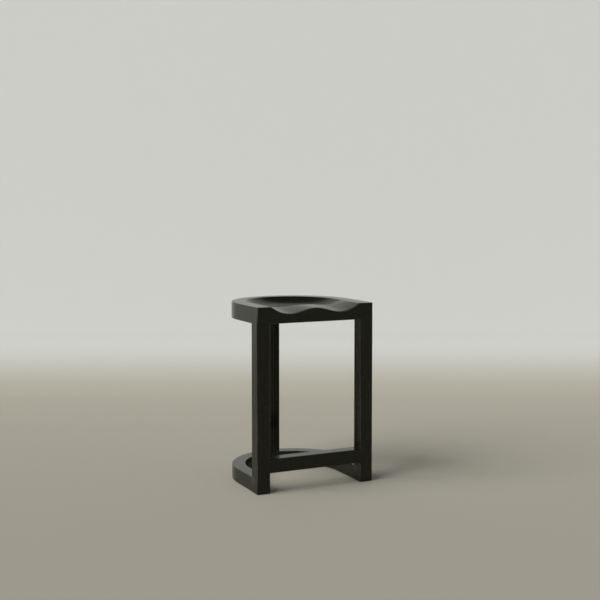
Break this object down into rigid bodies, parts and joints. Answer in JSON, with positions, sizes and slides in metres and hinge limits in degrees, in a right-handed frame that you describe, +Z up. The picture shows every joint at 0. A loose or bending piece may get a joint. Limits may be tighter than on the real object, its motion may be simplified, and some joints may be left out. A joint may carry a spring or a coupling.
{
  "type": "counter stool",
  "caption": "Counter-height wooden stool with a saddle-carved U-shaped seat on square front legs and a rear post, tied by a U-shaped floor base and a front foot rail.",
  "frame": {"origin": "on the floor, under the middle of the stool's outline", "axes": "+Z up, the straight front with the foot rail faces -Y, the round back faces +Y, +X to the right seen from the front"},
  "size_m": [0.46, 0.42, 0.66],
  "materials": {
    "seat_wood": "black stain, satin lacquer",
    "frame_wood": "black stain, satin lacquer",
    "joinery_wood": "bare hardwood, glued in",
    "felt": "pressed felt"
  },
  "bodies": {
    "root": {"seat_board_front": "seat_wood", "seat_board_mid_front": "seat_wood", "seat_board_mid_rear": "seat_wood", "seat_board_rear": "seat_wood", "leg_left": "frame_wood", "leg_right": "frame_wood", "rear_post": "frame_wood", "foot_rail": "frame_wood", "base_arm_left": "frame_wood", "base_arm_right": "frame_wood", "base_bow_left": "frame_wood", "base_bow_rear": "frame_wood", "base_bow_right": "frame_wood", "seat_dowel_front_left": "joinery_wood", "seat_dowel_front_middle": "joinery_wood", "seat_dowel_front_right": "joinery_wood", "seat_dowel_mid_front_left": "joinery_wood", "seat_dowel_mid_front_middle": "joinery_wood", "seat_dowel_mid_front_right": "joinery_wood", "seat_dowel_mid_rear_left": "joinery_wood", "seat_dowel_mid_rear_middle": "joinery_wood", "seat_dowel_mid_rear_right": "joinery_wood", "base_tenon_leg_left": "joinery_wood", "base_tenon_leg_right": "joinery_wood", "base_tenon_arm_left": "joinery_wood", "base_tenon_arm_right": "joinery_wood", "base_tenon_bow_left": "joinery_wood", "base_tenon_bow_right": "joinery_wood", "felt_pad_leg_left": "felt", "felt_pad_leg_right": "felt", "felt_pad_bow_left": "felt", "felt_pad_bow_rear": "felt", "felt_pad_bow_right": "felt"}
  },
  "joints": []
}
